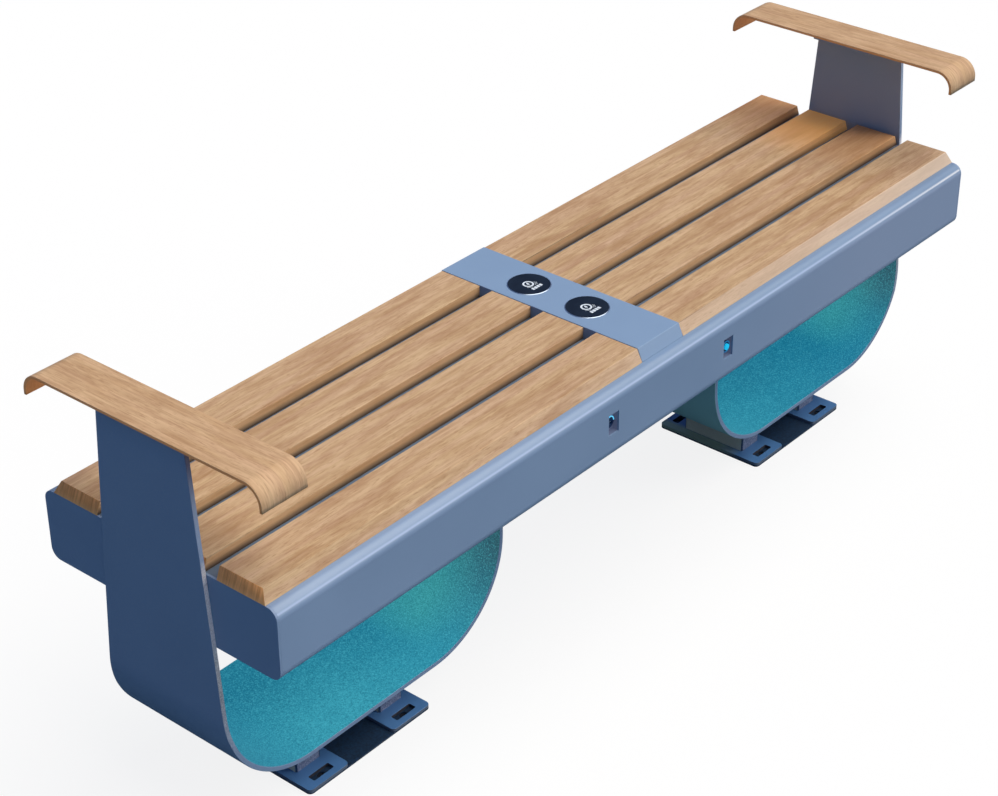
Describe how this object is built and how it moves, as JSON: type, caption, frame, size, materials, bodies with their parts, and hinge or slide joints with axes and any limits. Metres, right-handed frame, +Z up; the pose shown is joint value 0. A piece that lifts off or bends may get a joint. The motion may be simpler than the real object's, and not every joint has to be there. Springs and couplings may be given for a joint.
{
  "type": "solar charging bench",
  "caption": "Street bench with timber slats on a folded steel box, bent plate legs with armrests, wireless charge pads, USB port and lit button.",
  "frame": {"origin": "middle of the footprint at the underside of the foot mats", "axes": "+X along the seat to the right end seen from the front, +Y to the back, +Z up"},
  "size_m": [1.8266, 0.478, 0.707],
  "materials": {
    "blue_paint": "matt polyester powder coat, fine texture",
    "dark_paint": "matt polyester powder coat, shaded faces",
    "panel_paint": "satin powder coat",
    "leg_paint": "matt powder coat with a fine speckle",
    "foot_paint": "matt powder coat",
    "galvanised": "hot-dip galvanised, dull grey and speckled",
    "zinc_steel": "zinc-plated sheet",
    "zinc_fasteners": "zinc-plated",
    "trim_aluminium": "bright anodised",
    "raw_aluminium": "clear anodised extrusion",
    "black_glass": "dark glossy printed face",
    "black_plastic": "dark moulded plastic",
    "inner_plastic": "moulded plastic",
    "white_plastic": "moulded plastic",
    "cyan_light": "lit translucent ring",
    "button_lens": "lit translucent cap",
    "opal_lens": "lit opal lens",
    "slat_wood": "oiled hardwood slat with a straight grain",
    "arm_wood": "bent laminated wood, satin lacquer",
    "mat_rubber": "dark sheet rubber"
  },
  "bodies": {
    "bench": {"end_plate_left": "dark_paint", "end_plate_right": "dark_paint", "rib_left": "zinc_steel", "rib_right": "zinc_steel", "seat_case": "blue_paint", "service_cover": "blue_paint", "centre_panel": "panel_paint", "pad_front": "black_glass", "pad_ring_front": "trim_aluminium", "coil_front": "inner_plastic", "pad_rear": "black_glass", "pad_ring_rear": "trim_aluminium", "coil_rear": "inner_plastic", "usb_recess": "dark_paint", "button_recess": "dark_paint", "usb_body": "black_plastic", "button_bezel": "black_plastic", "usb_light": "cyan_light", "button_light": "cyan_light", "usb_tongue": "white_plastic", "switch_body": "inner_plastic", "battery_pack": "inner_plastic", "charge_controller": "raw_aluminium", "cable_gland": "black_plastic", "cable_duct": "white_plastic", "led_profile_left": "raw_aluminium", "led_profile_right": "raw_aluminium", "led_lens_left": "opal_lens", "led_lens_right": "opal_lens", "leg_left": "leg_paint", "leg_right": "leg_paint", "leg_flange_left": "leg_paint", "leg_flange_right": "leg_paint", "arm_bracket_left": "leg_paint", "arm_bracket_right": "leg_paint", "arm_left": "arm_wood", "arm_right": "arm_wood", "foot_plate_left_outer": "foot_paint", "foot_riser_left_outer": "galvanised", "foot_plate_left_inner": "foot_paint", "foot_riser_left_inner": "galvanised", "foot_plate_right_outer": "foot_paint", "foot_riser_right_outer": "galvanised", "foot_plate_right_inner": "foot_paint", "foot_riser_right_inner": "galvanised", "ground_mat_left": "mat_rubber", "ground_mat_right": "mat_rubber", "slat_left_1": "slat_wood", "slat_left_2": "slat_wood", "slat_left_3": "slat_wood", "slat_left_4": "slat_wood", "slat_right_1": "slat_wood", "slat_right_2": "slat_wood", "slat_right_3": "slat_wood", "slat_right_4": "slat_wood", "slat_screws": "zinc_fasteners", "leg_bolts": "zinc_fasteners", "arm_screws": "zinc_fasteners", "small_screws": "zinc_fasteners"},
    "button": {"button_cap": "button_lens"}
  },
  "joints": [
    {"name": "button_press", "type": "slide", "parent": "bench", "child": "button", "axis": [0, 1, 0], "range_m": [0, 0.0015], "stiffness_N_per_m": 800, "springref_m": -0.001}
  ]
}
